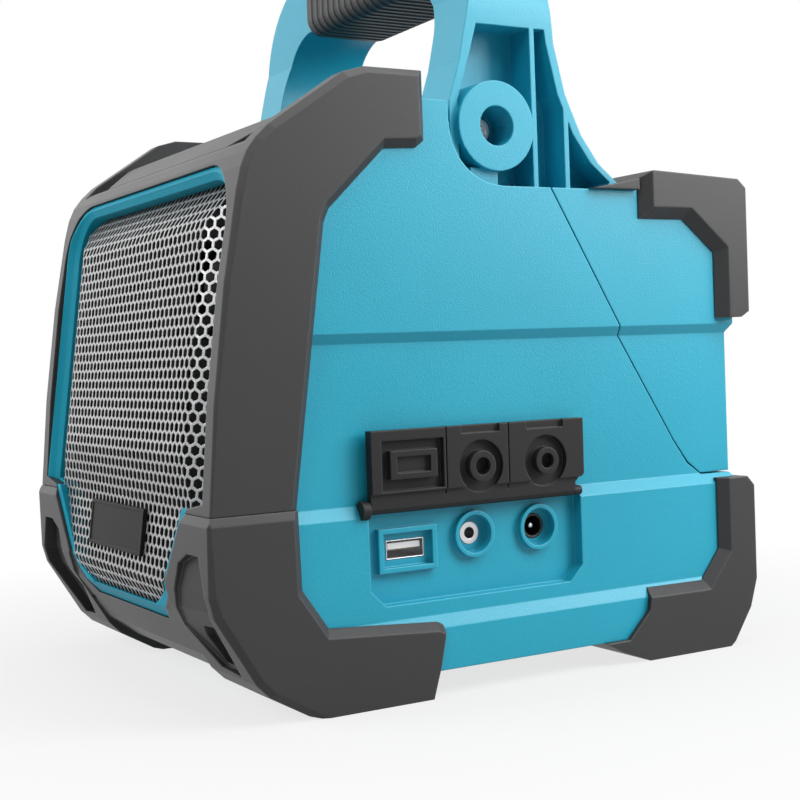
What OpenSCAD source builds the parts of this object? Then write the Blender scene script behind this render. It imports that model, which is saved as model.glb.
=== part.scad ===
/* [Overall] */
// Width over the side bumpers
body_w = 161; // [150:0.5:180]
// Depth over the front and rear bumpers
body_d = 201; // [190:0.5:225]
// Height to the top of the handle grip
total_h = 248; // [238:0.5:270]
// Wall of the moulded housing
wall = 3; // [2.5:0.1:3.6]
// Running gap between the housing and what opens on it
door_gap = 0.6; // [0.4:0.1:1]

/* [Side panel] */
// How far the bumpers stand proud of the upper panel
bumper_proud = 4; // [3:0.1:5]
// Step from the upper panel in to the middle panel
groove_step = 2.2; // [1.5:0.1:3]
// Height of the groove's upper edge
groove_z = 109.5; // [104:0.5:114]
// Height of the groove's bevel
groove_h = 3; // [2:0.1:4]
// Step from the middle panel out to the lower panel
ledge_step = 2.5; // [1.5:0.1:3]
// Height of the ledge's upper edge
ledge_z = 59; // [56:0.5:61]
// Step from the lower panel out to the skirt
skirt_step = 1.8; // [1:0.1:2.5]
// Height of the upper edge of the skirt's bevel
skirt_z = 24.4; // [22:0.2:28]
// Height of the housing's bottom above the ground
ground_gap = 7.7; // [6:0.1:9]

/* [Front] */
// Lean of the front face
front_lean = 7.94; // [5:0.1:11]
// Depth of the front frame in front of the housing
frame_depth = 12; // [11:0.5:13]
// Width of the grille opening
opening_w = 147.4; // [144:0.2:150]
// Height of the opening above the lower bumper's step
opening_up = 98.7; // [90:0.5:102]
// Height of the opening below the lower bumper's step
opening_down = 36; // [30:0.5:38]
// Radius of the opening's upper corners
opening_r = 20; // [12:0.5:26]
// Width of the teal trim round the grille
trim_w = 4; // [3:0.1:5.5]
// Thickness of the grille sheet
grille_t = 1; // [0.8:0.1:1.4]
// How far the grille bulges over its edge
grille_crown = 7.6; // [5:0.2:8]

/* [Drivers] */
// Diameter of the woofer's flange
woofer_d = 101.6; // [94:0.2:103]
// Depth of the woofer behind the baffle
woofer_depth = 48; // [42:1:56]
// Diameter of the tweeter's flange
tweeter_d = 34; // [30:0.5:35]
// Thickness of the baffle
baffle_t = 4; // [3:0.5:5]

/* [Controls] */
// Width of a key
key_w = 17; // [12:0.5:19]
// Depth of a key
key_d = 11; // [8:0.5:14]
// Travel of a key
key_travel = 1; // [0.6:0.1:1.4]

/* [Ports] */
// Length of the port cover
flap_l = 77; // [76.4:0.1:78]
// Height of the port cover
flap_h = 23.2; // [22.6:0.1:23.6]
// Thickness of the port cover
flap_t = 3.4; // [3.2:0.1:3.5]
// Lean of the open port cover
flap_lean = 0.5; // [0:0.1:0.5]
// Diameter of the port cover's hinge pin
flap_pin_d = 1.6; // [1.2:0.1:1.8]

/* [Rear cover] */
// Diameter of the rear cover's hinge pins
hinge_pin_d = 2.5; // [2:0.1:3]
// Diameter of the hinge barrels
barrel_d = 4.8; // [4.4:0.1:5]

/* [Handle] */
// Width of the handle over its feet
handle_w = 146; // [140:0.2:146.4]
// Width of a handle leg
leg_w = 18; // [15:0.5:22]
// Depth of the handle's grip
grip_d = 30; // [26:0.5:36]
// Thickness of the bar inside the grip
bar_h = 22; // [18:0.5:26]
// Thickness of the soft grip sleeve
sleeve_t = 2; // [1.5:0.1:3]

/* [Hidden] */
$fn = 72;

teal = [0.13, 0.55, 0.66];
charcoal = [0.27, 0.27, 0.28];
black = [0.1, 0.1, 0.11];
steel = [0.75, 0.75, 0.77];
green = [0.1, 0.35, 0.2];
touch = 0.01;
slide_gap = 0.3;
pin_gap = 0.05;

// Half widths of the housing's side, from the top down
half_w = body_w / 2;
upper_x = half_w - bumper_proud;
middle_x = upper_x - groove_step;
lower_x = middle_x + ledge_step;
skirt_x = lower_x + skirt_step;
inner_x = middle_x - wall;
ledge_h = 3.5;
skirt_h = 3.9;
front_y = -body_d / 2;
rear_y = body_d / 2;

// Front face: origin on the step line, leaning back
step_z = 60;
step_h = 2.5;
step_proud = 1;
frame_half = half_w - step_proud;
face_y = front_y + 1.2;
face_z = step_z + 2.5;
opening_half = opening_w / 2;
opening_chamfer = [[opening_half - 0.2, 1], [62, -1], [42.5, 8 - opening_down], [33, -opening_down]];
opening_top_x = opening_half - opening_r;
fit_gap = 0.2;

// Heights of the top and the rear
panel_top_z = 153.8;
deck_z = 151;
block_z = 179;
block_y = -15.8;
shoulder_z = block_z + 8;
shoulder_x = half_w - 10;
cover_y = 21.3;
seam = [[cover_y, panel_top_z], [47.1, groove_z + 0.5], [47.8, groove_z - groove_h], [70.2, 71], [76, 62.9],
  [82, ledge_z - 0.3]];
rear_mid_y = rear_y - 5.9;
rear_top_y = rear_mid_y + 1.9;
rear_low_y = rear_mid_y + 2.2;
rear_skirt_y = rear_low_y + 1.2;
shelf_z = ledge_z - 0.4;

// Ring boss of the handle and the pocket round it
boss_y = 2.9;
boss_z = 172.5;
boss_r = 13.9;
boss_hole_r = 6.2;
pocket_r = 18.5;

// Port recess
flap_z = ledge_z - 1.3;
port_y0 = -48.6;
port_y1 = port_y0 + flap_l + 2 * slide_gap;
port_z0 = flap_z - 28.9;
port_cut = 5;
port_floor = lower_x - 4;
port_back = port_floor - wall - 1;
socket_floor = port_floor - 1.8;
usb_floor = port_floor - 0.4;
usb_y = -34.2;
aux_y = -10.2;
dc_y = 13.9;
usb_z = flap_z - 12.9;
round_z = flap_z - 10.6;
bezel_h = 2;
flap_open_x = middle_x + 1.7;
flap_x = (flap_open_x + lower_x) / 2;
flap_barrel_r = 1.5;
round_bezel_r = 7.2;
round_hole_r = 5.9;
usb_bezel = [10.1, 6.65];
usb_hole = [8.5, 5.1];
aux_r = 3.45;
dc_r = 4;
aux_bore_r = 1.8;

// Hinge of the rear cover
hinge_y = rear_y - 2.5;
hinge_z = shelf_z;

// Battery bay
bay_x = inner_x - 0.6;
bay_y0 = 26;
bay_y1 = rear_mid_y - wall - 0.8;
bay_z0 = shelf_z;
bay_z1 = deck_z - slide_gap;
bay_wall = 2.4;
roof_y = 52.5;

// Control panel: a nearly flat plane between the shoulders, with a steeper strip in front
panel_slope = 8;
panel_y = -50;
panel_z = 177;
panel_half = shoulder_x - slide_gap;
panel_len = 28;
panel_t = 3;
strip_slope = 32.6;
strip_len = 17;
strip_gap = 0.8;

// Point beside another one, along a slope and square under it
function beside(p, slope, along, under) =
  p + along * [cos(slope), sin(slope)] + under * [sin(slope), -cos(slope)];

bend = beside([panel_y, panel_z], panel_slope, -panel_len / 2, 0);
bend_under = beside(bend, (panel_slope + strip_slope) / 2, 0, panel_t / cos((strip_slope - panel_slope) / 2));
deck_front = [-62, panel_z - 8.5];
deck_rear = [-35.2, panel_z - 4.5];
key_gap = 0.4;
key_proud = 1.4;
key_pitch = panel_half / 3.05;
key_room = panel_half - 8.2;
key_count = 5;

// Woofer and tweeter places on the front face
woofer_at = [-13, 28];
tweeter_at = [45, 66];
baffle_w = baffle_t - frame_depth;

// Handle
handle_half = handle_w / 2;
bar_z = total_h - sleeve_t - bar_h;
grip_y0 = -4;
grip_y1 = grip_y0 + grip_d;

// Extrudes an outline in (y, z) along X, centred
module along_x(w) { rotate([90, 0, 90]) linear_extrude(w, center = true) children(); }

// Extrudes an outline in (x, z) along Y, from y0 to y1
module along_y(y0, y1) { translate([0, y1, 0]) rotate([90, 0, 0]) linear_extrude(y1 - y0) children(); }

// Puts a shape in the frame of the leaning front face, +Z pointing out of it
module on_front() { translate([0, face_y, face_z]) rotate([90 - front_lean, 0, 0]) children(); }

// Puts a shape on the sloping control panel, +Z pointing out of it
module on_panel() { translate([0, panel_y, panel_z]) rotate([panel_slope, 0, 0]) children(); }

// Box between two corners
module span(a, b) { translate(a) cube(b - a); }

module both_sides() {
  children();
  mirror([1, 0, 0]) children();
}

// Cross section of the housing, seen from the front
module body_section(top) {
  right = [[skirt_x, ground_gap], [skirt_x, skirt_z - skirt_h], [lower_x, skirt_z],
    [lower_x, ledge_z - ledge_h], [middle_x, ledge_z], [middle_x, groove_z - groove_h], [upper_x, groove_z],
    [upper_x, top]];
  polygon(concat(right, [for (i = [len(right) - 1:-1:0]) [-right[i][0], right[i][1]]]));
}

// Depth of the front skin at a height, as the side view shows it
function face_at(z) = face_y + (z - face_z) * tan(front_lean);

back = frame_depth / cos(front_lean);
front_foot = [face_at(32) + back, 32];
front_head = [face_at(160) + back, 160];
chin_y = front_y + 22.5;

// Side outline of the main housing
module housing_side() {
  polygon(concat(
    [[chin_y, ground_gap], front_foot, front_head, deck_front, deck_rear, [deck_rear[0], block_z],
      [block_y, block_z], [block_y, panel_top_z]],
    seam,
    [[rear_mid_y, shelf_z], [rear_low_y, ledge_z - ledge_h], [rear_low_y, skirt_z],
      [rear_skirt_y, skirt_z - skirt_h], [rear_skirt_y, 16], [rear_skirt_y - 6.5, ground_gap]]));
}

// Fill between the top block and the pocket's round edge
module pocket_corner() {
  difference() {
    translate([block_y - touch, panel_top_z - touch]) square([boss_y - block_y, boss_z - panel_top_z]);
    translate([boss_y, boss_z]) circle(pocket_r);
  }
}

module housing_solid() {
  intersection() {
    along_x(2 * half_w) union() {
      housing_side();
      pocket_corner();
    }
    along_y(front_y, rear_y) body_section(block_z + 1);
  }
}

// Hollow of the housing, open behind the seam
module housing_hollow() {
  along_x(2 * inner_x) polygon([[chin_y + 2, ground_gap + wall], front_foot + [wall + 0.6, 2],
    front_head + [wall, -wall], deck_front + [1.5, -wall - 0.7], deck_rear + [wall, -wall - 0.5],
    [deck_rear[0] + wall, block_z - wall], [block_y - wall, block_z - wall],
    [block_y - wall, deck_z - wall], [rear_y, deck_z - wall], [rear_y, shelf_z], [76, shelf_z],
    [76, shelf_z - wall], [rear_mid_y - wall, shelf_z - wall], [rear_mid_y - wall, ground_gap + wall]]);
}

// Lower right corner of the grille opening, drawn in by an inset
function lower_side(inset) = [for (p = opening_chamfer) [p[0] - inset, max(p[1], inset - opening_down)]];

// Points on both sides of the middle, from those on the right from the top down
function both_halves(right) = concat(right, [for (i = [len(right) - 1:-1:0]) [-right[i][0], right[i][1]]]);

// Outline of the grille opening on the front face, drawn in by an inset
module opening_outline(inset) {
  r = opening_r - inset;
  difference() {
    polygon(both_halves(concat([[opening_half - inset, opening_up - inset]], lower_side(inset))));
    for (m = [0, 1]) mirror([m, 0]) translate([opening_top_x, opening_up - opening_r]) difference() {
      square(r + 1);
      circle(r);
    }
  }
}

// Prism of the opening through the front, from one depth to another
module opening_prism(inset, w0, w1) {
  on_front() translate([0, 0, w0]) linear_extrude(w1 - w0) opening_outline(inset);
}

module tube(r, hole, h) {
  difference() {
    cylinder(r = r, h = h);
    translate([0, 0, -1]) cylinder(r = hole, h = h + 2);
  }
}

// Points a shape along +X at the height of the round sockets
module at_port(x, y) { translate([x, y, round_z]) rotate([0, 90, 0]) children(); }

// Recess for the port cover, with the rims of the three sockets standing in it
module port_recess() {
  port_top = flap_z + flap_barrel_r + 0.6;
  difference() {
    translate([port_floor + 10, 0, 0]) along_x(20)
      polygon([[port_y0 + port_cut, port_z0], [port_y1 - port_cut, port_z0], [port_y1, port_z0 + port_cut],
        [port_y1, port_top], [port_y0, port_top], [port_y0, port_z0 + port_cut]]);
    for (y = [aux_y, dc_y]) at_port(port_floor - 1, y) cylinder(r = round_bezel_r, h = 1 + bezel_h);
    translate([port_floor, usb_y, usb_z])
      cube([2 * bezel_h, 2 * usb_bezel[0], 2 * usb_bezel[1]], center = true);
  }
  for (y = [aux_y, dc_y]) at_port(socket_floor, y) cylinder(r = round_hole_r, h = 10);
  at_port(port_back - 1, aux_y) cylinder(r = aux_r, h = 10);
  at_port(port_back - 1, dc_y) cylinder(r = dc_r, h = 10);
  span([usb_floor, usb_y - usb_hole[0], usb_z - usb_hole[1]],
    [half_w, usb_y + usb_hole[0], usb_z + usb_hole[1]]);
  span([port_back - 1, usb_y - 6.6, usb_z - 2.9], [half_w, usb_y + 6.6, usb_z + 2.9]);
}

// Hinge barrel with its arm to the wall in front of it
module barrel(x0, x1, arm_z) {
  translate([x0, hinge_y, hinge_z]) rotate([0, 90, 0]) cylinder(d = barrel_d, h = x1 - x0);
  span([x0, rear_mid_y - 1, min(hinge_z, arm_z)], [x1, hinge_y, max(hinge_z, arm_z)]);
}

module hinge_bore(d, x0, x1) {
  translate([x0, hinge_y, hinge_z]) rotate([0, 90, 0]) cylinder(d = d, h = x1 - x0);
}

barrel_r = barrel_d / 2;
fixed_barrel = [32, 44];
cover_barrel = [20, fixed_barrel[0] - slide_gap];
post_x = [handle_half - leg_w - 10, handle_half - leg_w - 0.1];

module main_housing() {
  color(teal) difference() {
    union() {
      difference() {
        housing_solid();
        housing_hollow();
        opening_prism(trim_w + 3.4, -2 * frame_depth, 0);
        span([-upper_x + wall, block_y, deck_z], [upper_x - wall, cover_y + 10, total_h]);
        on_panel() span([-key_room, -10, -25], [key_room, 10, 10]);
      }
      span([port_back, port_y0 - wall, port_z0 - wall], [port_floor, port_y1 + wall, shelf_z - slide_gap]);
      both_sides() barrel(fixed_barrel[0], fixed_barrel[1], hinge_z - barrel_r);
      both_sides() span([post_x[0], boss_y - 9, deck_z - 1], [post_x[1], boss_y + 9, boss_z + 9]);
    }
    port_recess();
    bumper_screw_holes();
    both_sides() hinge_bore(hinge_pin_d, 30, 45);
    both_sides() translate([post_x[0] + 2, boss_y, boss_z]) rotate([0, 90, 0]) cylinder(r = 2, h = 12);
  }
}

// Bevel along a chain of points in (y, z) at a half width, with the bumper to the left of the chain
function left_of(c, i) = let (d = c[i + 1] - c[i]) [-d[1], d[0]] / norm(d);
function mitre(c, i) =
  let (a = left_of(c, max(i - 1, 0)), b = left_of(c, min(i, len(c) - 2))) (a + b) / (1 + a * b);

// Size of a bevel at a height: it grows slowly above the step and faster below it
function bevel_at(z, size, low) = min(size, low + max(0.012 * (z - step_z), 0.055 * (step_z - z)));

module edge_bevel(x, chain, size, low) {
  last = 3 * len(chain) - 3;
  corners = [[-1.25, -0.25], [0.25, 1.25], [0.25, -0.25]];
  polyhedron(
    [for (i = [0:len(chain) - 1], k = corners)
      let (b = bevel_at(chain[i][1], size, low), p = chain[i] + k[1] * b * mitre(chain, i))
        [x + k[0] * b, p[0], p[1]]],
    concat([[0, 1, 2], [last, last + 2, last + 1]],
      [for (i = [0:3:last - 3], k = [0:2])
        let (a = i + k, b = i + (k + 1) % 3) each [[b, a, a + 3], [b, a + 3, b + 3]]]));
}

front_bevel = 2;
low_bevel = 0.6;
side_bevel = 2.5;
rear_bevel = bumper_proud - 0.4;

// Dark bumper that frames the grille and runs up into two shoulders
module frame_bevels() {
  f = front_y;
  edge_bevel(frame_half, [[f + 80, shoulder_z], [f + 55.5, shoulder_z], [f + 48.5, shoulder_z - 2],
    [f + 24.2, 168.8], [f + 20.2, 165], [f + 17.3, 161.3], [f + 15.2, 156.8], [f + 13.4, 150], [f + 8.5, 124],
    [f + 4, 91], [f + 1.2, step_z + 0.2], [f + 0.8, step_z - 5]], front_bevel, low_bevel);
  edge_bevel(frame_half, [[f + 27.9, step_z - 5], [f + 40.8, 141.6], [f + 42.6, 145.6], [f + 61.5, 163.6],
    [f + 72.5, 164.2], [f + 75.4, 166.5], [f + 75.4, shoulder_z + 5]], side_bevel, side_bevel);
}

module frame_side() {
  f = front_y;
  polygon([[f + 1.2, step_z + 0.2], [f + 4, 91], [f + 8.5, 124], [f + 13.4, 150], [f + 15.2, 156.8],
    [f + 17.3, 161.3], [f + 20.2, 165], [f + 24.2, 168.8], [f + 48.5, shoulder_z - 2], [f + 55.5, shoulder_z],
    [f + 75.4, shoulder_z], [f + 75.4, 166.5], [f + 72.5, 164.2], [f + 61.5, 163.6], [f + 42.6, 145.6],
    [f + 40.8, 141.6], [f + 28.6, step_z + 0.2]]);
}

// Room over the frame for the control panel and its strip
module panel_room() {
  polygon([beside(bend, strip_slope, -37, 0), beside(bend, strip_slope, -strip_len - strip_gap, 0),
    beside(bend, strip_slope, -strip_len - strip_gap, panel_t), bend_under,
    [deck_rear[0] + 0.2, bend_under[1] + (deck_rear[0] + 0.2 - bend_under[0]) * tan(panel_slope)],
    [deck_rear[0] + 0.2, total_h], [front_y, total_h]]);
}

module front_frame() {
  color(charcoal) difference() {
    along_x(2 * frame_half) frame_side();
    housing_solid();
    opening_prism(0, -30, 30);
    along_x(2 * shoulder_x) panel_room();
    span([-shoulder_x, deck_rear[0], block_z], [shoulder_x, 0, total_h]);
    on_panel() span([-key_room, -10, -25], [key_room, 10, 10]);
    both_sides() frame_bevels();
  }
}

// Dark bumper under the grille: two corner pads joined by a crossbar
module chin_side() {
  f = front_y;
  polygon([[f + 1.2, step_z], [f, step_z - step_h], [f, 38], [f + 1.5, 32], [f + 13.5, 12], [f + 17.5, 8],
    [f + 29.5, 1], [f + 33, 0], [f + 70, 0], [f + 73, 9.6], [f + 75.6, 21.5], [f + 73.5, 22.5],
    [f + 37, 25], [f + 29, 37], [f + 28.6, step_z]]);
}

module crossbar_side() {
  f = front_y;
  polygon([[f + 1, step_z], [f + 1, 38], [f + 3, 30], [f + 13, 15], [f + 22.5, ground_gap],
    [f + 40, ground_gap], [f + 40, step_z]]);
}

module chin_bevels() {
  f = front_y;
  edge_bevel(half_w, [[f, step_z + 5], [f, 38], [f + 1.5, 32], [f + 13.5, 12], [f + 17.5, 8], [f + 29.5, 1],
    [f + 36.4, -3]], front_bevel, low_bevel);
  edge_bevel(half_w, [[f + 79.8, 19.5], [f + 73.5, 22.5], [f + 37, 25], [f + 29, 37], [f + 28.5, step_z + 5]],
    side_bevel, side_bevel);
}

// Slope from the frame's side out to the prouder bumper under it
module step_bevel() {
  along_y(front_y - 1, 0) polygon([[frame_half, step_z + 1], [frame_half, step_z], [half_w, step_z - step_h],
    [half_w + 1, step_z - 2 * step_h], [half_w + 1, step_z + 1]]);
}

corner_x = 46;
crossbar_x = corner_x - 3;

module lower_front_bumper() {
  color(charcoal) difference() {
    union() {
      difference() {
        along_x(body_w) chin_side();
        span([-corner_x, front_y - 1, -1], [corner_x, 0, step_z + 1]);
      }
      along_x(2 * corner_x + 2 * touch) crossbar_side();
    }
    housing_solid();
    opening_prism(0, -30, 30);
    both_sides() span([crossbar_x, front_y - 1, -1], [corner_x, front_y + 9, 23]);
    both_sides() corner_pocket();
    both_sides() chin_bevels();
    both_sides() step_bevel();
    bumper_screw_holes();
  }
}

// Outline of what lies in front of a floor that follows the chin at some depth, seen from the side
module chin_front(depth) {
  polygon([[-12, 60], [depth, 60], [depth, 38], [depth + 1.5, 32], [depth + 13.5, 12], [depth + 13.5, 8],
    [-12, 8]]);
}

// Long pocket in the front of each corner pad, beside the opening: its floor runs in towards the side,
// and a deep slot opens at its lower end
pocket_turn = 9;
pocket_depth = 5;

module corner_pocket() {
  f = front_y;
  intersection() {
    along_y(f - 1, f + 25)
      polygon([[72.5, 49], [64, 49], [57, 45.8], [47.5, 26], [57, 14], [70, 13], [76, 34], [76, 37]]);
    translate([corner_x + 2, f, 0]) rotate(pocket_turn) along_x(4 * corner_x) chin_front(0.6);
  }
  intersection() {
    along_y(f - 1, f + 25) polygon([[58, 27], [56, 24], [57.5, 15], [69, 13.5], [73.5, 27]]);
    translate([0, f, 0]) along_x(body_w) chin_front(pocket_depth);
  }
}

// Skin that the trim stays behind, seen from the side
module trim_skin() {
  f = front_y;
  polygon([[f + 1.5, step_z], [f + 1.2, 38], [f + 3.2, 30], [f + 8, 24], [f + 30, 24], [f + 30, 170],
    [f + 24, 168], [f + 16.5, 158], [f + 13.9, 150], [f + 9, 124], [f + 4.5, 91]]);
}

// Teal trim: a ring with two bevels along its inner edge, down to the step
bevels = [[trim_w, -3.7], [2.3, -2.4], [fit_gap + 0.3, -0.4], [fit_gap + 0.3, 10]];

module bevel_section(edge) {
  polygon(concat([[0, 10], [0, bevels[0][1]]], [for (b = bevels) [edge - b[0], b[1]]]));
}

module bevel_cut() {
  on_front() {
    along_x(2 * opening_top_x) bevel_section(opening_up);
    both_sides() translate([0, opening_up - opening_r, 0]) rotate([90, 0, 0])
      linear_extrude(opening_up - opening_r + 1) bevel_section(opening_half);
    both_sides() translate([opening_top_x, opening_up - opening_r, 0])
      rotate_extrude() bevel_section(opening_r);
  }
}

module grille_trim() {
  color(teal) difference() {
    intersection() {
      opening_prism(fit_gap, -frame_depth, -0.4);
      along_x(body_w) trim_skin();
    }
    opening_prism(trim_w, -frame_depth - 1, 10);
    bevel_cut();
    housing_solid();
  }
}

// Convex sheet behind the trim, flat in the middle, bent back along its edges and lower under the plate
rim_w = baffle_w + 0.1;
seat_crown = grille_crown - 2.6;
grille_inset = trim_w + fit_gap;

module crowned(t) {
  half = opening_half - grille_inset - t;
  low = grille_inset + t - opening_down;
  high = opening_up - grille_inset - t;
  c = grille_crown - t;
  seat = seat_crown - t;
  on_front() translate([0, 0, rim_w]) intersection() {
    rotate([90, 0, 0]) linear_extrude(400, center = true) polygon([[-half, -t], [-half, 0.3],
      [11 - half, 0.86 * c], [15 - half, c], [half - 15, c], [half - 11, 0.86 * c], [half, 0.3], [half, -t]]);
    along_x(body_w) polygon([[low, -t], [low, 0.3], [low + 7, seat], [-3, seat], [14, c], [high - 14, c],
      [high - 6, 0.6 * c], [high, 0.3], [high, -t]]);
    translate([0, 0, -t]) linear_extrude(20) opening_outline(grille_inset + t);
  }
}

module grille() {
  color(steel) difference() {
    crowned(0);
    crowned(grille_t);
  }
}

// Plain plate on the grille, seated on the lower part of its crown
crown_w = rim_w + seat_crown;

module grille_badge() {
  color(black) on_front() difference() {
    translate([-24.5, -18.2, crown_w]) cube([49, 14.5, 1.3]);
    translate([-23.5, -17.2, crown_w + 1]) cube([47, 12.5, 1]);
  }
}

// Puts a driver's axis on the baffle, +Z pointing out of the front
module on_baffle(at) { on_front() translate([at[0], at[1], baffle_w]) children(); }

woofer_r = woofer_d / 2;
flange_t = 1.5;
flange_sink = 1;
flange_top = flange_t - flange_sink;
basket_r = woofer_r - 7.8;
basket_back = 16 - woofer_depth;
cone_r = woofer_r - 10.5;
coil_r = 12.5;
tweeter_r = tweeter_d / 2;
dome_r = 11;
screw_pitch_r = woofer_r - 3;
screw_head_r = 2.6;
screw_head_h = 1;
surround_r = screw_pitch_r - screw_head_r - fit_gap;

module screw_places() { for (a = [45:90:315]) rotate(a) translate([screw_pitch_r, 0, 0]) children(); }

// The opening's outline with three flats for each upper corner
module baffle_outline() {
  inset = grille_inset + 0.1;
  top = [for (a = [90:-30:0])
    [opening_top_x, opening_up - opening_r] + (opening_r - inset) * [cos(a), sin(a)]];
  polygon(both_halves(concat(top, lower_side(inset))));
}

module baffle() {
  color(black) difference() {
    on_front() translate([0, 0, -frame_depth]) linear_extrude(baffle_t) baffle_outline();
    on_baffle(woofer_at) {
      cylinder(r = basket_r + 3, h = 40, center = true);
      translate([0, 0, -flange_sink]) cylinder(r = woofer_r + 0.2, h = 10);
      screw_places() cylinder(r = 1.5, h = 20, center = true);
    }
    on_baffle(tweeter_at) cylinder(r = tweeter_r - 1.9, h = 40, center = true);
  }
}

module woofer_basket() {
  color(black) on_baffle(woofer_at) difference() {
    rotate_extrude() polygon([[woofer_r, -flange_sink], [woofer_r, flange_top], [basket_r, flange_top],
      [basket_r, -flange_sink], [24, basket_back + 2], [0, basket_back + 2], [0, basket_back],
      [26.5, basket_back], [basket_r + 2.5, -flange_sink]]);
    screw_places() {
      translate([0, 0, -3]) cylinder(r = 1.5, h = 6);
      translate([0, 0, flange_top - screw_head_h]) cylinder(r = screw_head_r + 0.1, h = 6);
    }
  }
}

module woofer_surround() {
  color([0.16, 0.16, 0.16]) on_baffle(woofer_at) rotate_extrude() difference() {
    union() {
      translate([cone_r + 0.5, flange_top]) square([surround_r - cone_r - 0.5, 1.2]);
      translate([surround_r - 1.8, flange_top + 0.2]) circle(1.8);
    }
    translate([0, flange_top - 10]) square([woofer_r, 10]);
  }
}

module woofer_cone() {
  color([0.12, 0.12, 0.12]) on_baffle(woofer_at) {
    rotate_extrude() polygon([[cone_r, -0.7], [cone_r, 0.2], [coil_r - 1.2, -17.5], [coil_r - 1.2, -25],
      [coil_r, -25], [coil_r, -18.2]]);
    translate([0, 0, -25]) intersection() {
      sphere(r = 14);
      translate([0, 0, 6.8]) cylinder(r = coil_r - 0.2, h = 20);
    }
  }
}

module woofer_magnet() {
  color([0.2, 0.2, 0.21]) on_baffle(woofer_at) translate([0, 0, -woofer_depth])
    cylinder(r = 33, h = basket_back + woofer_depth);
}

module woofer_screws() {
  color(steel) on_baffle(woofer_at) screw_places() {
    translate([0, 0, flange_top - screw_head_h]) cylinder(r = screw_head_r, h = screw_head_h);
    translate([0, 0, -baffle_t]) cylinder(r = 1.5, h = baffle_t + flange_top - screw_head_h);
  }
}

module tweeter_housing() {
  color(black) on_baffle(tweeter_at) difference() {
    union() {
      cylinder(r = tweeter_r, h = 1.6);
      translate([0, 0, -12]) cylinder(r = tweeter_r - 2, h = 12);
    }
    translate([0, 0, -10]) cylinder(r = dome_r + 0.6, h = 20);
  }
}

module tweeter_dome() {
  color([0.3, 0.3, 0.31]) on_baffle(tweeter_at) {
    translate([0, 0, -9]) tube(dome_r, dome_r - 1, 4);
    translate([0, 0, -14]) intersection() {
      sphere(r = 14.2);
      translate([0, 0, 9]) cylinder(r = dome_r, h = 10);
    }
  }
}

module tweeter_magnet() {
  color([0.2, 0.2, 0.21]) on_baffle(tweeter_at) translate([0, 0, -22]) cylinder(r = 12, h = 10);
}

// Keys: caps through the panel, each with a hidden flange that holds it in
function key_x(i) = (i - (key_count + 1) / 2) * key_pitch;
key_flange = 1.4;
board_top = -panel_t - key_flange - key_travel - 1.2;

module key_shape(grow, h) {
  linear_extrude(h) union() {
    square([key_w - key_d, key_d + 2 * grow], center = true);
    for (s = [-1, 1]) translate([s * (key_w - key_d) / 2, 0]) circle(key_d / 2 + grow);
  }
}

module control_panel() {
  color(charcoal) difference() {
    along_x(2 * panel_half) polygon([beside(bend, strip_slope, -strip_len, 0), bend,
      beside(bend, panel_slope, panel_len, 0), beside(bend, panel_slope, panel_len, panel_t), bend_under,
      beside(bend, strip_slope, -strip_len, panel_t)]);
    on_panel() for (i = [1:key_count]) translate([key_x(i), 0, -panel_t - 1]) key_shape(key_gap, panel_t + 2);
    both_sides() translate([0, bend[0], bend[1]]) rotate([strip_slope, 0, 0]) translate([0, 0, -10])
      linear_extrude(20) polygon([[panel_half - strip_len - 1, -strip_len - 1],
        [panel_half + 1, -strip_len - 1], [panel_half + 1, 1]]);
  }
}

module key_board() {
  color(green) on_panel() {
    span([2 - key_room, -9, board_top - 1.6], [key_room - 2, 9, board_top]);
    both_sides() span([key_room - 5, -9, board_top], [key_room - 2.2, 9, -panel_t]);
  }
}

module key(i) {
  color(black) on_panel() translate([key_x(i), 0, 0]) {
    translate([0, 0, -panel_t - 0.5]) key_shape(0, panel_t + 0.5 + key_proud);
    translate([0, 0, -panel_t - 0.05 - key_flange]) key_shape(1, key_flange);
  }
}

module main_board() {
  color(green) span([-45, bay_y0 - 7.6, 75], [45, bay_y0 - 6, 140]);
}

module board_posts() {
  color(black) for (x = [-40, 40], z = [80, 135]) translate([x, bay_y0, z]) rotate([90, 0, 0])
    cylinder(r = 3, h = 6);
}

// Sockets behind the port recess, on their own small board
board_x = port_back - 12;

module port_board() {
  color(green) span([board_x - 1.6, usb_y - 12, usb_z - 9], [board_x, dc_y + 10, usb_z + 11]);
}

module usb_socket() {
  color(steel) difference() {
    span([board_x, usb_y - 6.55, usb_z - 2.85], [usb_floor + 0.2, usb_y + 6.55, usb_z + 2.85]);
    span([board_x + 2, usb_y - 6.25, usb_z - 2.55], [half_w, usb_y + 6.25, usb_z + 2.55]);
  }
  color("white") span([board_x + 1, usb_y - 5.6, usb_z + 0.1], [usb_floor - 0.6, usb_y + 5.6, usb_z + 1.9]);
}

module aux_socket() {
  color(steel) at_port(board_x, aux_y) difference() {
    cylinder(r = aux_r - touch, h = socket_floor + 0.2 - board_x);
    translate([0, 0, 1]) cylinder(r = aux_bore_r, h = 40);
  }
}

module dc_socket() {
  color(black) at_port(board_x, dc_y) {
    difference() {
      cylinder(r = dc_r - touch, h = socket_floor + 0.2 - board_x);
      translate([0, 0, 3]) cylinder(r = dc_r - 0.8, h = 40);
    }
    cylinder(r = 0.85, h = socket_floor - 1 - board_x);
  }
}

// Port cover, hinged along its lower edge and shown open
boss_reach = 0.95;
usb_reach = 0.5;
slit_y = [-22.8, -0.2];
slit_w = 0.5;
lug_l = 2.8;
notch_y = port_y1 - lug_l - slide_gap;
recess_d = 2;

module flap_pocket(y, z) { translate([flap_t - recess_d, y, z]) rotate([0, 90, 0]) children(); }

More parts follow.
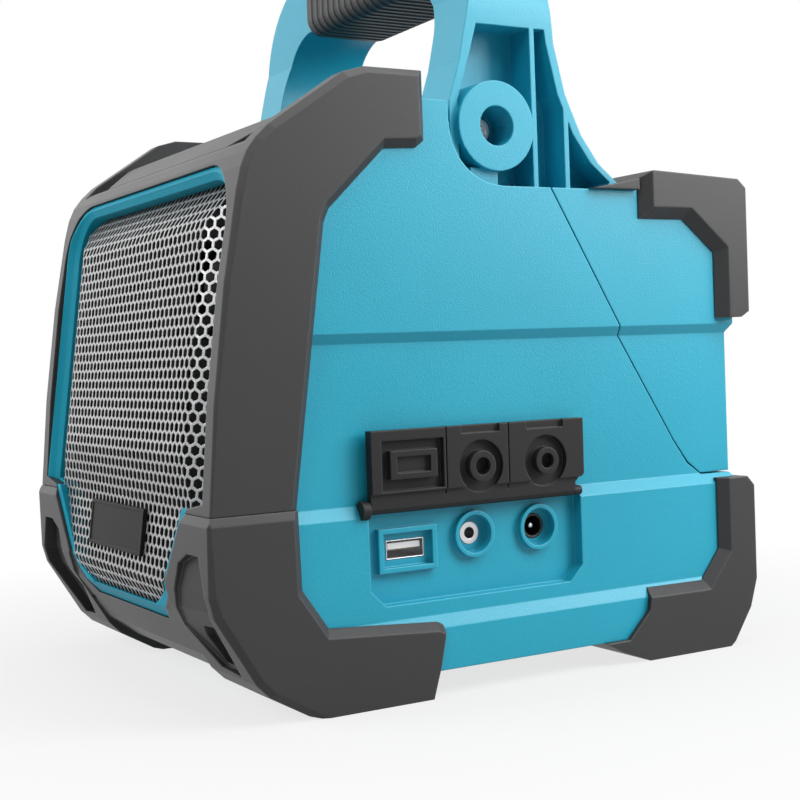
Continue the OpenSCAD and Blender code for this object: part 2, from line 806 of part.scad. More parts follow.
module port_cover() {
  drop = flap_z - round_z;
  usb_drop = flap_z - usb_z;
  color([0.2, 0.2, 0.21]) translate([flap_x, 0, flap_z]) rotate([0, flap_lean, 0]) difference() {
    union() {
      translate([flap_open_x - flap_x, 0, 0]) {
        difference() {
          span([0, port_y0 + slide_gap, 0], [flap_t, port_y0 + slide_gap + flap_l, flap_h]);
          for (y = slit_y) span([-9, y, 3], [9, y + slit_w, 99]);
          for (y = [aux_y, dc_y]) flap_pocket(y, drop) cylinder(r = round_bezel_r + 0.8, h = 9);
          span([flap_t - recess_d, usb_y - usb_bezel[0] - 0.6, usb_drop - usb_bezel[1] - 1],
            [9, usb_y + usb_bezel[0] + 0.6, usb_drop + usb_bezel[1] + 0.6]);
          for (y = [aux_y, dc_y]) span([flap_t - 1.2, y - 7, flap_h - 2.4], [9, y + 7, 99]);
          span([flap_t - 1.1, port_y0, -9], [9, port_y1, 4.6]);
        }
        for (y = [aux_y, dc_y]) flap_pocket(y, drop)
          tube(y == aux_y ? 4.7 : 4.2, y == aux_y ? 2.7 : 2.4, recess_d + boss_reach);
        difference() {
          span([flap_t - recess_d, usb_y - usb_hole[0] + 0.5, usb_drop - usb_hole[1] + 0.9],
            [flap_t + usb_reach, usb_y + usb_hole[0] - 0.5, usb_drop + usb_hole[1] - 0.9]);
          span([flap_t - 1, usb_y - 5.8, usb_drop - 2.4], [9, usb_y + 5.8, usb_drop + 2.4]);
        }
      }
      translate([0, port_y0 + slide_gap, 0]) rotate([-90, 0, 0]) cylinder(r = flap_barrel_r, h = flap_l);
    }
    translate([0, port_y0, 0]) rotate([-90, 0, 0]) cylinder(d = flap_pin_d + 2 * pin_gap, h = flap_l + 2);
    along_x(20) polygon([[notch_y, -9], [notch_y, 2.8], [port_y1, 2.8 + port_y1 - notch_y], [port_y1, -9]]);
  }
}

// Lies along the hinge axis of the port cover, between two places
module port_axis(y0, y1, r) {
  translate([flap_x, y0, flap_z]) rotate([-90, 0, 0]) cylinder(r = r, h = y1 - y0);
}

module port_pin_axis() { port_axis(port_y0 - 2.4, port_y1 - 0.2, flap_pin_d / 2); }

module port_cover_pin() { color(steel) port_pin_axis(); }

// Two lugs that hold the ends of the pin: a round one on the ledge and a narrow one in the recess
module port_hinge_lugs() {
  lug_y = port_y1 - lug_l;
  color(black) difference() {
    union() {
      port_axis(port_y0 - 2.6, port_y0 - 0.05, 2.8);
      port_axis(lug_y, port_y1, flap_barrel_r);
      span([port_floor, lug_y, flap_z - flap_barrel_r], [flap_x, port_y1, flap_z + flap_barrel_r]);
    }
    difference() {
      housing_solid();
      port_recess();
    }
    port_pin_axis();
  }
}

// Battery bay: a box open to the rear cover, with a keeper lip on its roof
keeper_y = 44;
keeper_half = 8;

module battery_bay() {
  color(black) {
    difference() {
      span([-bay_x, bay_y0, bay_z0], [bay_x, bay_y1, bay_z1]);
      span([-bay_x + bay_wall, bay_y0 + bay_wall, bay_z0 + bay_wall],
        [bay_x - bay_wall, bay_y1 + 1, bay_z1 - bay_wall]);
    }
    span([-keeper_half, keeper_y, bay_z1 - touch], [keeper_half, keeper_y + 3, bay_z1 + 2.4]);
  }
}

module terminals(w, h, x, z) {
  color(black) span([x - w / 2, bay_y0 + bay_wall, z], [x + w / 2, bay_y0 + bay_wall + 9, z + h]);
  color("gold") for (i = [-1:1]) span([x + i * w / 4 - 1, bay_y0 + bay_wall + 8.9, z + 4],
    [x + i * w / 4 + 1, bay_y0 + bay_wall + 14, z + h - 4]);
}

module terminal_block_large() { terminals(44, 26, -28, 92); }

module terminal_block_small() { terminals(26, 20, 34, 95); }

// Rear cover: cheeks, roof and back in one moulding, hinged at the bottom
module cover_side() {
  polygon([[cover_y + door_gap, panel_top_z], [seam[1][0] + door_gap, seam[1][1]],
    [seam[2][0] + door_gap, seam[2][1]], [seam[3][0] + door_gap, seam[3][1]],
    [seam[4][0] + door_gap, seam[4][1] + 0.4], [seam[5][0], shelf_z + door_gap],
    [rear_mid_y, shelf_z + door_gap], [rear_mid_y, groove_z - groove_h], [rear_top_y, groove_z],
    [rear_top_y, panel_top_z]]);
}

module cover_solid() {
  intersection() {
    along_x(body_w) cover_side();
    along_y(0, rear_y) body_section(block_z);
  }
}

latch_y = 66;
latch_z = panel_top_z + 3;
latch_half = 12;
latch_pin_d = 2.4;

module latch_bore(d, w) { translate([-w / 2, latch_y, latch_z]) rotate([0, 90, 0]) cylinder(d = d, h = w); }

module rear_cover() {
  color(teal) difference() {
    union() {
      difference() {
        cover_solid();
        span([-inner_x, 0, 0], [inner_x, rear_mid_y - wall, panel_top_z - wall]);
        span([-upper_x + wall, 0, deck_z - 8], [upper_x - wall, roof_y + 0.8, total_h]);
      }
      both_sides() barrel(cover_barrel[0], cover_barrel[1], hinge_z + barrel_r + 1);
      both_sides() span([latch_half + slide_gap, latch_y - 4, panel_top_z - 1],
        [latch_half + slide_gap + 4, latch_y + 4, latch_z + 2.6]);
    }
    both_sides() hinge_bore(hinge_pin_d + 2 * pin_gap, cover_barrel[0] - 1, cover_barrel[1] + 1);
    latch_bore(latch_pin_d, 4 * latch_half);
  }
}

module cover_hinge_pins() {
  color(steel) both_sides() hinge_bore(hinge_pin_d, cover_barrel[0], fixed_barrel[1]);
}

module cover_latch() {
  color(charcoal) difference() {
    union() {
      latch_bore(4.8, 2 * latch_half);
      span([-latch_half, keeper_y - 3, latch_z - 1], [latch_half, latch_y, latch_z + 2.4]);
      span([-latch_half, keeper_y - 3, panel_top_z - 0.3], [latch_half, keeper_y + 3, latch_z]);
    }
    latch_bore(latch_pin_d + 2 * pin_gap, 4 * latch_half);
  }
}

module latch_pin() { color(steel) latch_bore(latch_pin_d, 2 * latch_half + 8); }

// Corner bumpers of the rear, outside the housing and the cover
module upper_bumper() {
  bumper_in = 48;
  r = rear_y;
  color(charcoal) difference() {
    union() {
      intersection() {
        along_x(body_w) polygon([[56.4, 144.5], [75, 144.5], [88.4, 133.5], [88.4, groove_z + 2],
          [r - 3.5, groove_z + 2], [r, groove_z + 4], [r, panel_top_z + 1.4],
          [r - 3.5, panel_top_z + 4.4], [60.4, panel_top_z + 6.2], [56.4, panel_top_z + 3.8]]);
        span([bumper_in, 0, 0], [half_w, r, total_h]);
      }
      intersection() {
        along_x(body_w) polygon([[36.7, panel_top_z], [56.5, panel_top_z], [56.5, panel_top_z + 3.8]]);
        span([upper_x - wall + 0.4, 0, 0], [half_w - 1.5, r, total_h]);
      }
    }
    cover_solid();
    edge_bevel(half_w, [[56.4, panel_top_z + 9], [56.4, 144.5], [75, 144.5], [88.4, 133.5],
      [88.4, groove_z - 4]], rear_bevel, rear_bevel);
  }
}

module upper_bumper_right() { upper_bumper(); }

module upper_bumper_left() { mirror([1, 0, 0]) upper_bumper(); }

module lower_bumper() {
  r = rear_y;
  color(charcoal) difference() {
    intersection() {
      along_x(body_w) polygon([[86.4, ledge_z - 1.8], [r - 3, ledge_z - 1.8], [r, ledge_z - 5], [r, 22],
        [r - 3, 12.5], [r - 10.5, 1.5], [r - 12.5, 0], [52.6, 0], [42, 4], [35, ground_gap],
        [44.6, ground_gap], [53.3, 16.4], [54.4, 23.5], [78.3, 23.3], [86.4, 33.3]]);
      span([50, 0, 0], [half_w, r, total_h]);
    }
    housing_solid();
    bumper_screw_holes();
    edge_bevel(half_w, [[86.4, ledge_z + 4], [86.4, 33.3], [78.3, 23.3], [54.4, 23.5], [52, 23.5]],
      rear_bevel - 0.6, rear_bevel - 0.6);
  }
}

module lower_bumper_right() { lower_bumper(); }

module lower_bumper_left() { mirror([1, 0, 0]) lower_bumper(); }

// Handle: an arch over the body, ribbed and open on the outside of its legs
leg_top = total_h - 34;
arch_r = 40;

module arch_front() {
  difference() {
    union() {
      translate([-handle_half, deck_z]) square([handle_w, total_h - sleeve_t - arch_r - deck_z]);
      for (s = [-1, 1]) translate([s * (handle_half - arch_r), total_h - sleeve_t - arch_r]) circle(arch_r);
      translate([-handle_half + arch_r, deck_z]) square([handle_w - 2 * arch_r, total_h - sleeve_t - deck_z]);
    }
    in_half = handle_half - leg_w;
    in_r = arch_r - leg_w;
    translate([-in_half, deck_z - 1]) square([2 * in_half, bar_z - in_r - deck_z + 1]);
    for (s = [-1, 1]) translate([s * (in_half - in_r), bar_z - in_r]) circle(in_r);
    translate([-in_half + in_r, deck_z]) square([2 * (in_half - in_r), bar_z - deck_z]);
  }
}

// Height on a leg, as a share of the way from the deck to its top
function leg_z(k) = deck_z + k * (leg_top - deck_z);

module leg_side(inset) {
  polygon([[-13 + inset, deck_z + inset], [51.5 - 2 * inset, deck_z + inset], [51 - inset, leg_z(0.087)],
    [43.5 - inset, leg_z(0.183)], [36.8 - inset, leg_z(0.325)], [31 - inset, leg_z(0.524)],
    [grip_y1 + 1 - inset, leg_z(0.778)], [grip_y1 - inset, leg_top - 2 * inset], [grip_y1 - inset, total_h],
    [grip_y0 + inset, total_h], [grip_y0 + inset, leg_top - 2 * inset], [-9 + inset, leg_z(0.65)],
    [-13 + inset, leg_z(0.46)]]);
}

rib_y = [18.6, 31];
rib_t = 1.8;
pocket_d = 11;

module handle_arch() {
  color(teal) difference() {
    union() {
      difference() {
        intersection() {
          along_x(handle_w) leg_side(0);
          along_y(-20, 60) arch_front();
        }
        both_sides() intersection() {
          along_x(handle_w + 2) leg_side(3);
          span([handle_half - pocket_d, -20, deck_z], [handle_half + 1, 60, leg_top - 10]);
        }
      }
      both_sides() intersection() {
        along_x(handle_w) leg_side(1);
        for (y = rib_y) span([handle_half - pocket_d - 1, y - rib_t / 2, deck_z],
          [handle_half, y + rib_t / 2, leg_top - 9]);
      }
      both_sides() translate([handle_half - pocket_d - 1, boss_y, boss_z]) rotate([0, 90, 0])
        cylinder(r = boss_r, h = pocket_d + 3);
      both_sides() span([handle_half - pocket_d - 1, boss_y - 9, deck_z],
        [handle_half, boss_y + 1, boss_z - boss_r + 1]);
    }
    both_sides() translate([handle_half - pocket_d + 1, boss_y, boss_z]) rotate([0, 90, 0])
      cylinder(r = boss_hole_r, h = 30);
    both_sides() translate([0, boss_y, boss_z]) rotate([0, 90, 0]) cylinder(r = 2.1, h = handle_half);
  }
}

module handle_screws() {
  color(steel) both_sides() translate([0, boss_y, boss_z]) rotate([0, 90, 0]) {
    translate([0, 0, post_x[0] + 3]) cylinder(r = 2 - touch, h = handle_half - pocket_d + 1 - post_x[0] - 3);
    translate([0, 0, handle_half - pocket_d + 1]) cylinder(r = 4.4, h = 2.6);
  }
}

// Soft sleeve round the bar of the handle
module rounded(a, b, r) {
  for (y = [a[0] + r, b[0] - r], z = [a[1] + r, b[1] - r]) translate([y, z]) circle(r);
  translate([a[0] + r, a[1]]) square([b[0] - a[0] - 2 * r, b[1] - a[1]]);
  translate([a[0], a[1] + r]) square([b[0] - a[0], b[1] - a[1] - 2 * r]);
}

module handle_grip() {
  color(charcoal) along_x(2 * (handle_half - arch_r)) difference() {
    rounded([grip_y0 - sleeve_t, bar_z - sleeve_t], [grip_y1 + sleeve_t, total_h], 6);
    translate([grip_y0, bar_z]) square([grip_d, bar_h]);
  }
}

// Screws that hold the four lower corner pads to the bottom of the housing
bumper_screw_at = [[62, -50], [66, 70]];
bumper_head_z = 3.2;

module bumper_screw_holes() {
  both_sides() for (p = bumper_screw_at) translate([p[0], p[1], -1]) {
    cylinder(r = 3.9, h = bumper_head_z + 1);
    cylinder(r = 1.5, h = ground_gap + wall + 2);
  }
}

module bumper_screws() {
  color(steel) both_sides() for (p = bumper_screw_at) translate([p[0], p[1], bumper_head_z - 2]) {
    cylinder(r = 3.5, h = 2);
    cylinder(r = 1.5, h = ground_gap + wall + 1 - bumper_head_z);
  }
}

main_housing();
front_frame();
lower_front_bumper();
grille_trim();
grille();
grille_badge();
baffle();
woofer_basket();
woofer_surround();
woofer_cone();
woofer_magnet();
woofer_screws();
tweeter_housing();
tweeter_dome();
tweeter_magnet();
control_panel();
key_board();
key(1);  // key_1
key(2);  // key_2
key(3);  // key_3
key(4);  // key_4
key(5);  // key_5
main_board();
board_posts();
port_board();
usb_socket();
aux_socket();
dc_socket();
port_cover();
port_cover_pin();
port_hinge_lugs();
battery_bay();
terminal_block_large();
terminal_block_small();
rear_cover();
cover_hinge_pins();
upper_bumper_left();
upper_bumper_right();
cover_latch();
latch_pin();
lower_bumper_left();
lower_bumper_right();
handle_arch();
handle_grip();
handle_screws();
bumper_screws();
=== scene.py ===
from math import cos, pi, radians, sin, sqrt

import bmesh
import bpy
from mathutils import Matrix, Vector


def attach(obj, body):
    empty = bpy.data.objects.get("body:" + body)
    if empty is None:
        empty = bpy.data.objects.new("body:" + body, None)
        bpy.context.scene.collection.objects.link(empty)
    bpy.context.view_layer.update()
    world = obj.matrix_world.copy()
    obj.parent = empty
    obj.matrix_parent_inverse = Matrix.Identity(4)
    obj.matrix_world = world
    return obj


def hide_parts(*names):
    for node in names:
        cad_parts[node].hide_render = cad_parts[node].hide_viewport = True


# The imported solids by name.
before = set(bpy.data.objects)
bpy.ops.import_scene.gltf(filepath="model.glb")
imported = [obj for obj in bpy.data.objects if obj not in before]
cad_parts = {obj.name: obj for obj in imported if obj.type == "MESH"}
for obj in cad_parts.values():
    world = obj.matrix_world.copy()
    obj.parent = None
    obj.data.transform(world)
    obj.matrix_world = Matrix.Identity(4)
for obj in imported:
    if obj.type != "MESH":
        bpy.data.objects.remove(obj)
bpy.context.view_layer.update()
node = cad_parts

# Camera: close to the right front corner of the speaker, level with its middle and turned to the port side.
# The near corner is about 0.4 m away, so the perspective is strong.
eye = Vector((0.4425, -0.2497, 0.1026))
yaw = radians(59.75)
pitch = radians(-1.77)
roll = radians(2.14)
ahead = Vector((-sin(yaw) * cos(pitch), cos(yaw) * cos(pitch), sin(pitch)))
level = Vector((cos(yaw), sin(yaw), 0))
below = ahead.cross(level)
right = cos(roll) * level + sin(roll) * below
up = sin(roll) * level - cos(roll) * below
camera = bpy.data.objects.new("camera", bpy.data.cameras.new("camera"))
camera.data.lens = 64.43
camera.data.sensor_width = 36
camera.data.clip_start = 0.01
camera.matrix_world = Matrix((right, up, -ahead)).transposed().to_4x4()
camera.location = eye
bpy.context.scene.collection.objects.link(camera)
bpy.context.scene.camera = camera
bpy.context.scene.view_settings.view_transform = "Standard"

# Studio: a white sweep under the speaker, a wide soft box overhead, two smaller ones near the rear of the
# port side and three weak ones round the front and the left. Sweep and sky are white to the lens and in
# reflections, and the sweep keeps the shadow under the pads.


def soft_box(name, place, target, size, power):
    """Rectangular lamp at a place, turned towards a target."""
    lamp = bpy.data.lights.new(name, "AREA")
    lamp.shape = "RECTANGLE"
    lamp.size, lamp.size_y = size
    lamp.energy = power
    held = bpy.data.objects.new(name, lamp)
    held.location = place
    held.rotation_euler = (Vector(target) - Vector(place)).to_track_quat("-Z", "Y").to_euler()
    bpy.context.scene.collection.objects.link(held)


soft_box("overhead", (0.1, 0.1, 1), (0, 0, 0.1), (0.9, 0.9), 6.5)
soft_box("port_side", (0.4, 0.2, 0.55), (0.06, 0.02, 0.14), (0.3, 0.3), 2.2)
soft_box("rear_side", (0.46, 0.48, 0.36), (0.06, 0.06, 0.14), (0.36, 0.32), 3.8)
soft_box("front_side", (-0.3, -0.95, 0.6), (0, -0.05, 0.1), (0.5, 0.5), 8)
soft_box("left_side", (-1.1, -0.55, 0.5), (0, -0.08, 0.1), (1.4, 1.0), 4)
soft_box("near_corner", (0.5, -0.75, 0.75), (0.06, -0.08, 0.1), (0.3, 0.3), 2)


def rays_of(web, *kinds):
    """1 for rays of the named kinds, 0 for all others."""
    ray = web.nodes.new("ShaderNodeLightPath")
    found = ray.outputs[kinds[0]]
    for kind in kinds[1:]:
        either = web.nodes.new("ShaderNodeMath")
        either.operation = "MAXIMUM"
        web.links.new(found, either.inputs[0])
        web.links.new(ray.outputs[kind], either.inputs[1])
        found = either.outputs[0]
    return found


sky_light = 0.06
world = bpy.data.worlds.new("studio")
bpy.context.scene.world = world
world.use_nodes = True
sky = world.node_tree
glow = sky.nodes.new("ShaderNodeMapRange")
glow.inputs["To Min"].default_value = sky_light
glow.inputs["To Max"].default_value = 1
sky.links.new(rays_of(sky, "Is Camera Ray", "Is Transmission Ray", "Is Glossy Ray"), glow.inputs["Value"])
sky.nodes["Background"].inputs["Color"].default_value = (1, 1, 1, 1)
sky.links.new(glow.outputs["Result"], sky.nodes["Background"].inputs["Strength"])

sweep_radius = 30
sweep_grey = 0.4
near_white = 0.75
near_end = 0.1
far_start = 0.3
sweep_mesh = bpy.data.meshes.new("sweep")
sweep = bpy.data.objects.new("sweep", sweep_mesh)
bpy.context.scene.collection.objects.link(sweep)
disc = bmesh.new()
bmesh.ops.create_circle(disc, cap_ends=True, segments=96, radius=sweep_radius)
disc.to_mesh(sweep_mesh)
disc.free()
white = bpy.data.materials.new("white_sweep")
white.use_nodes = True
tree = white.node_tree
tree.nodes["Principled BSDF"].inputs["Base Color"].default_value = (sweep_grey, sweep_grey, sweep_grey, 1)
tree.nodes["Principled BSDF"].inputs["Roughness"].default_value = 0.9
shine = tree.nodes.new("ShaderNodeEmission")
place = tree.nodes.new("ShaderNodeTexCoord")
far = tree.nodes.new("ShaderNodeVectorMath")
far.operation = "LENGTH"
tree.links.new(place.outputs["Object"], far.inputs[0])
fade = tree.nodes.new("ShaderNodeMapRange")
fade.inputs["From Min"].default_value = near_end
fade.inputs["From Max"].default_value = far_start
fade.inputs["To Min"].default_value = near_white
tree.links.new(far.outputs["Value"], fade.inputs["Value"])
share = tree.nodes.new("ShaderNodeMath")
share.operation = "MULTIPLY"
tree.links.new(fade.outputs["Result"], share.inputs[0])
tree.links.new(rays_of(tree, "Is Camera Ray", "Is Glossy Ray"), share.inputs[1])
blend = tree.nodes.new("ShaderNodeMixShader")
tree.links.new(share.outputs[0], blend.inputs["Fac"])
tree.links.new(tree.nodes["Principled BSDF"].outputs[0], blend.inputs[1])
tree.links.new(shine.outputs[0], blend.inputs[2])
tree.links.new(blend.outputs[0], tree.nodes["Material Output"].inputs["Surface"])
sweep_mesh.materials.append(white)

# Teal shell: the housing, rear cover, handle and the ring round the grille, moulded in polycarbonate with a
# spark-eroded skin. The edges are rounded by the tool and carry a paler painted highlight. The ring is a
# moulding of its own, less shiny, in a darker copy of the teal that is painted shade.
edge_highlight_share = 0.45
gloss_swing = 0.06


def group_of(name, inputs, outputs):
    """Empty shader group with named inputs and outputs; gives the group and its two ends."""
    made = bpy.data.node_groups.new(name, "ShaderNodeTree")
    for title, kind, value in inputs:
        made.interface.new_socket(name=title, in_out="INPUT", socket_type=kind).default_value = value
    for title, kind in outputs:
        made.interface.new_socket(name=title, in_out="OUTPUT", socket_type=kind)
    return made, made.nodes.new("NodeGroupInput"), made.nodes.new("NodeGroupOutput")


grain_group, ends_in, ends_out = group_of(
    "moulded_grain",
    [("Grain Scale", "NodeSocketFloat", 1500), ("Patch Scale", "NodeSocketFloat", 14)],
    [("Height", "NodeSocketFloat"), ("Patches", "NodeSocketFloat")])
place = grain_group.nodes.new("ShaderNodeTexCoord")
fine = grain_group.nodes.new("ShaderNodeTexNoise")
fine.inputs["Detail"].default_value = 3
grain_group.links.new(place.outputs["Object"], fine.inputs["Vector"])
grain_group.links.new(ends_in.outputs["Grain Scale"], fine.inputs["Scale"])
grain_group.links.new(fine.outputs["Fac"], ends_out.inputs["Height"])
broad = grain_group.nodes.new("ShaderNodeTexNoise")
broad.inputs["Detail"].default_value = 4
grain_group.links.new(place.outputs["Object"], broad.inputs["Vector"])
grain_group.links.new(ends_in.outputs["Patch Scale"], broad.inputs["Scale"])
grain_group.links.new(broad.outputs["Fac"], ends_out.inputs["Patches"])

edge_group, ends_in, ends_out = group_of(
    "rounded_edges",
    [("Radius", "NodeSocketFloat", 0.0006)],
    [("Normal", "NodeSocketVector"), ("Edge", "NodeSocketFloat")])
rounding = edge_group.nodes.new("ShaderNodeBevel")
rounding.samples = 6
flat = edge_group.nodes.new("ShaderNodeNewGeometry")
along = edge_group.nodes.new("ShaderNodeVectorMath")
along.operation = "DOT_PRODUCT"
edge = edge_group.nodes.new("ShaderNodeMapRange")
edge.inputs["From Min"].default_value = 1
edge.inputs["From Max"].default_value = 0.75
edge_group.links.new(ends_in.outputs["Radius"], rounding.inputs["Radius"])
edge_group.links.new(rounding.outputs["Normal"], along.inputs[0])
edge_group.links.new(flat.outputs["Normal"], along.inputs[1])
edge_group.links.new(along.outputs["Value"], edge.inputs["Value"])
edge_group.links.new(rounding.outputs["Normal"], ends_out.inputs["Normal"])
edge_group.links.new(edge.outputs["Result"], ends_out.inputs["Edge"])


def moulded(name, colour, edge_highlight, rough, grain=1500, depth=0.00002, radius=0.0006, metal=0.0, patch=0.12,
            shine=0.5):
    """Moulded or painted skin: base colour in broad patches, painted highlight on edges, grain, rounded
    corners.
    """
    made = bpy.data.materials.new(name)
    made.use_nodes = True
    web = made.node_tree
    skin = web.nodes["Principled BSDF"]
    skin.inputs["Metallic"].default_value = metal
    skin.inputs["Specular IOR Level"].default_value = shine
    texture = web.nodes.new("ShaderNodeGroup")
    texture.node_tree = grain_group
    texture.inputs["Grain Scale"].default_value = grain
    edges = web.nodes.new("ShaderNodeGroup")
    edges.node_tree = edge_group
    edges.inputs["Radius"].default_value = radius
    tone = web.nodes.new("ShaderNodeMix")
    tone.data_type = "RGBA"
    tone.inputs["A"].default_value = (*[c * (1 - patch) for c in colour], 1)
    tone.inputs["B"].default_value = (*[c * (1 + patch) for c in colour], 1)
    web.links.new(texture.outputs["Patches"], tone.inputs["Factor"])
    # The paler colour on the rounded edges is a painted highlight.
    edge_highlight_mix = web.nodes.new("ShaderNodeMix")
    edge_highlight_mix.data_type = "RGBA"
    edge_highlight_mix.inputs["B"].default_value = (*edge_highlight, 1)
    faint = web.nodes.new("ShaderNodeMath")
    faint.operation = "MULTIPLY"
    faint.inputs[1].default_value = edge_highlight_share
    web.links.new(edges.outputs["Edge"], faint.inputs[0])
    web.links.new(faint.outputs[0], edge_highlight_mix.inputs["Factor"])
    web.links.new(tone.outputs["Result"], edge_highlight_mix.inputs["A"])
    web.links.new(edge_highlight_mix.outputs["Result"], skin.inputs["Base Color"])
    gloss = web.nodes.new("ShaderNodeMapRange")
    gloss.inputs["To Min"].default_value = rough - gloss_swing
    gloss.inputs["To Max"].default_value = rough + gloss_swing
    web.links.new(texture.outputs["Patches"], gloss.inputs["Value"])
    web.links.new(gloss.outputs["Result"], skin.inputs["Roughness"])
    bump = web.nodes.new("ShaderNodeBump")
    bump.inputs["Strength"].default_value = 1
    bump.inputs["Distance"].default_value = depth
    web.links.new(texture.outputs["Height"], bump.inputs["Height"])
    web.links.new(edges.outputs["Normal"], bump.inputs["Normal"])
    web.links.new(bump.outputs["Normal"], skin.inputs["Normal"])
    return made


def finish_nodes(material, *names):
    """Gives the named solids one finish."""
    for name in names:
        node[name].data.materials.clear()
        node[name].data.materials.append(material)


teal = moulded("teal_polycarbonate", (0.008, 0.292, 0.415), (0.10, 0.46, 0.60), 0.4, grain=2000,
               depth=0.00007, shine=0.4)
finish_nodes(teal, "main_housing", "rear_cover", "handle_arch")
# The ring's darker teal is painted shade.
teal_ring = moulded("teal_ring", (0.005, 0.245, 0.350), (0.06, 0.40, 0.53), 0.55, grain=2000,
                    depth=0.00004, shine=0.12)
finish_nodes(teal_ring, "grille_trim")

# Dark bumpers: the frame round the grille, the chin under it and the four rear corners, overmoulded in grey
# elastomer. The sleeve of the handle and the panel of the keys are in the same rubber. It is matt, with a
# faint painted highlight along the edges.
elastomer = moulded("grey_elastomer", (0.031, 0.031, 0.032), (0.20, 0.20, 0.20), 0.46, grain=2200,
                    depth=0.00003, radius=0.0008, patch=0.10, shine=0.27)
finish_nodes(elastomer, "front_frame", "lower_front_bumper", "upper_bumper_left", "upper_bumper_right",
             "lower_bumper_left", "lower_bumper_right", "handle_grip", "control_panel")

# Grille: a steel sheet with hexagonal holes, pressed into a shallow crown, painted silver and clamped behind
# the ring. The holes run on behind the ring all round, and the crown is lower where the plate sits.
lean = radians(7.94)
face = Vector((0, -0.0993, 0.0625))
out_of_face = Vector((0, -cos(lean), sin(lean)))
rim_depth = -0.0079
sheet_half = 0.0695
sheet_low = -0.0318
sheet_high = 0.0945
sheet_corner = 0.0158
slant_half = 0.0578
slant_top = -0.001
slant_in = 0.0195
slant_drop = 0.027
tucked_in = 0.0012
cell_pitch = 0.00361
weld = 0.00002
side_run = 0.0135
head_run = 0.013
foot_run = 0.0105
bend_round = 0.3
seat_end = -0.003
crown_start = 0.014
silver = moulded("silver_paint", (0.25, 0.25, 0.254), (0.8, 0.8, 0.8), 0.34, grain=2600, depth=0.000008,
                 radius=0.0002, metal=0.55, patch=0.05)


def sheet_covers(u, v, spare):
    """Whether a place on the front lies on the sheet, or within a spare width of its edge."""
    if abs(u) > sheet_half + spare or not sheet_low - spare < v < sheet_high + spare:
        return False
    if v < slant_top and abs(u) > slant_half + spare + (v - slant_top) * slant_in / slant_drop:
        return False
    over = Vector((max(0, abs(u) - sheet_half + sheet_corner), max(0, v - sheet_high + sheet_corner)))
    return over.length < sheet_corner + spare


def nodes_tree(name, inputs):
    """Empty geometry tree with named inputs; gives the tree, its two ends and the inputs' identifiers."""
    made = bpy.data.node_groups.new(name, "GeometryNodeTree")
    made.interface.new_socket(name="Geometry", in_out="INPUT", socket_type="NodeSocketGeometry")
    made.interface.new_socket(name="Geometry", in_out="OUTPUT", socket_type="NodeSocketGeometry")
    keys = {}
    for title, kind in inputs:
        keys[title] = made.interface.new_socket(name=title, in_out="INPUT", socket_type=kind).identifier
    return made, made.nodes.new("NodeGroupInput"), made.nodes.new("NodeGroupOutput"), keys


def calc(web, operation, *values):
    """Math node on numbers or sockets; gives its result."""
    made = web.nodes.new("ShaderNodeMath")
    made.operation = operation
    for slot, value in enumerate(values):
        if isinstance(value, (int, float)):
            made.inputs[slot].default_value = value
        else:
            web.links.new(value, made.inputs[slot])
    return made.outputs[0]


def step(web, kind, **links):
    """Geometry node with its inputs linked or set by name."""
    made = web.nodes.new(kind)
    for title, value in links.items():
        socket = made.inputs[title.replace("_", " ")]
        if isinstance(value, bpy.types.NodeSocket):
            web.links.new(value, socket)
        else:
            socket.default_value = value
    return made


def grown(obj, tree, keys, values):
    """Runs a geometry tree on an object with the given inputs, and leaves its result as a plain mesh."""
    modifier = obj.modifiers.new(tree.name, "NODES")
    modifier.node_group = tree
    for title, value in values.items():
        modifier[keys[title]] = value
    found = obj.evaluated_get(bpy.context.evaluated_depsgraph_get())
    plain = bpy.data.meshes.new_from_object(found)
    obj.modifiers.remove(modifier)
    obj.data = plain
    return obj


sheet_tree, ends_in, ends_out, sheet_keys = nodes_tree("perforated_sheet", [
    ("Pitch", "NodeSocketFloat"), ("Hole", "NodeSocketFloat"), ("Thickness", "NodeSocketFloat"),
    ("Crown", "NodeSocketFloat"), ("Seat", "NodeSocketFloat"), ("Paint", "NodeSocketMaterial")])
given = ends_in.outputs
cell = step(sheet_tree, "GeometryNodeMeshCircle", Vertices=6,
            Radius=calc(sheet_tree, "DIVIDE", given["Pitch"], sqrt(3)))
cell.fill_type = "NGON"
turned = step(sheet_tree, "GeometryNodeTransform", Geometry=cell.outputs[0], Rotation=(0, 0, pi / 6))
inset = step(sheet_tree, "GeometryNodeExtrudeMesh", Mesh=turned.outputs[0], Offset_Scale=0.0)
narrow = step(sheet_tree, "GeometryNodeScaleElements", Geometry=inset.outputs["Mesh"],
              Selection=inset.outputs["Top"], Scale=calc(sheet_tree, "DIVIDE", given["Hole"], given["Pitch"]))
walls = step(sheet_tree, "GeometryNodeExtrudeMesh", Mesh=narrow.outputs[0], Selection=inset.outputs["Top"],
             Offset_Scale=calc(sheet_tree, "MULTIPLY", given["Thickness"], -1.0))
pierced = step(sheet_tree, "GeometryNodeDeleteGeometry", Geometry=walls.outputs["Mesh"],
               Selection=walls.outputs["Top"])
pierced.domain = "FACE"
ring = step(sheet_tree, "GeometryNodeDeleteGeometry", Geometry=narrow.outputs[0],
            Selection=inset.outputs["Top"])
ring.domain = "FACE"
flipped = step(sheet_tree, "GeometryNodeFlipFaces", Mesh=ring.outputs[0])
sunk = sheet_tree.nodes.new("ShaderNodeCombineXYZ")
sheet_tree.links.new(calc(sheet_tree, "MULTIPLY", given["Thickness"], -1.0), sunk.inputs["Z"])
back = step(sheet_tree, "GeometryNodeTransform", Geometry=flipped.outputs[0], Translation=sunk.outputs[0])
whole = sheet_tree.nodes.new("GeometryNodeJoinGeometry")
sheet_tree.links.new(pierced.outputs[0], whole.inputs[0])
sheet_tree.links.new(back.outputs[0], whole.inputs[0])
cells = step(sheet_tree, "GeometryNodeInstanceOnPoints", Points=given["Geometry"], Instance=whole.outputs[0])
